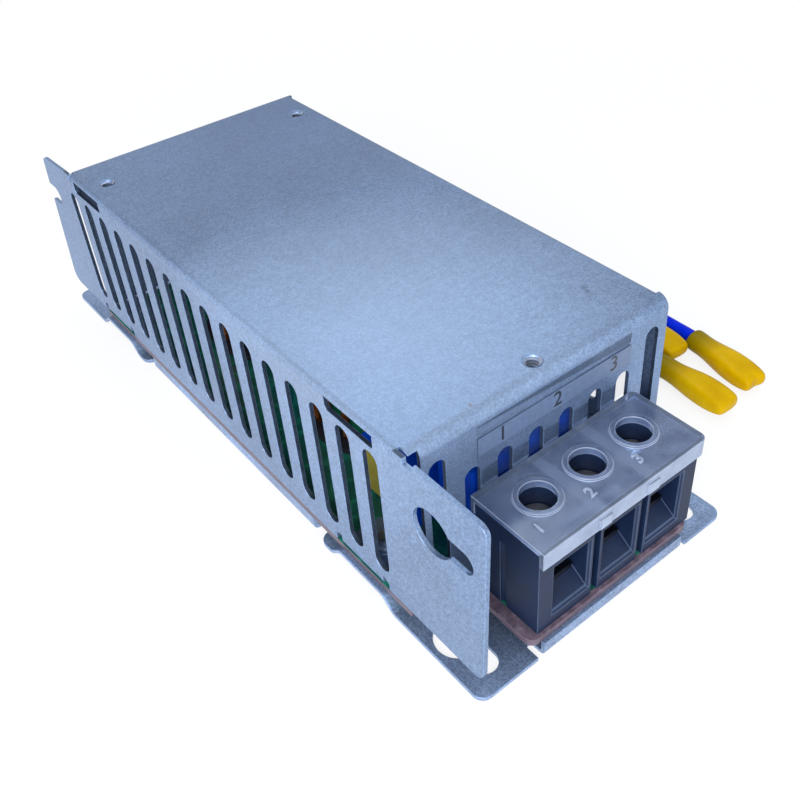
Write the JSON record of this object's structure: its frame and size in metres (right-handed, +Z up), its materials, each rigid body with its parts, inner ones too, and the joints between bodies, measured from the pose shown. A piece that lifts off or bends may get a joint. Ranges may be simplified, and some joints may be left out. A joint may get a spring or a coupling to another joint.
{
  "type": "emi line filter",
  "caption": "Single-phase mains line filter in a perforated folded-steel cover on a pressed base, with a screw terminal at one end and capped flying leads at the other.",
  "frame": {"origin": "under the middle of the filter's outline in plan without its leads, on the surface it stands on", "axes": "+Z up; +Y from the screw terminal to the end where the leads come out; +X to the right, seen from the terminal"},
  "size_m": [0.1149, 0.2083, 0.048],
  "materials": {
    "galvanised_sheet": "satin",
    "zinc_screw": "satin",
    "board_laminate": "satin",
    "terminal_body": "satin",
    "terminal_brass": "satin",
    "clear_plastic": "gloss",
    "clear_film": "gloss",
    "label_white": "matte",
    "capacitor_blue": "satin",
    "capacitor_yellow": "satin",
    "disc_lacquer": "satin",
    "resistor_body": "satin",
    "core_coating": "satin",
    "enamelled_copper": "gloss",
    "carrier_plastic": "matte",
    "bushing_nylon": "matte",
    "blue_insulation": "satin",
    "earth_insulation": "satin",
    "brown_insulation": "satin",
    "yellow_vinyl": "gloss"
  },
  "bodies": {
    "root": {"cover": "galvanised_sheet", "base_plate": "galvanised_sheet", "circuit_board": "board_laminate", "board_screws": "zinc_screw", "terminal_housing": "terminal_body", "terminal_frames": "terminal_brass", "terminal_screws": "zinc_screw", "pressure_plates": "zinc_screw", "terminal_cover": "clear_plastic", "label_film": "clear_film", "label_strip": "label_white", "input_capacitor": "capacitor_blue", "middle_capacitor": "capacitor_blue", "side_capacitor": "capacitor_yellow", "disc_capacitors": "disc_lacquer", "discharge_resistor": "resistor_body", "input_choke_core": "core_coating", "input_choke_windings": "enamelled_copper", "input_choke_carrier": "carrier_plastic", "output_choke_core": "core_coating", "output_choke_windings": "enamelled_copper", "output_choke_carrier": "carrier_plastic", "lead_bushing": "bushing_nylon", "blue_lead": "blue_insulation", "earth_lead": "earth_insulation", "brown_lead": "brown_insulation", "blue_cap": "yellow_vinyl", "earth_cap": "yellow_vinyl", "brown_cap": "yellow_vinyl", "blue_sleeve": "zinc_screw", "earth_sleeve": "zinc_screw", "brown_sleeve": "zinc_screw"}
  },
  "joints": []
}
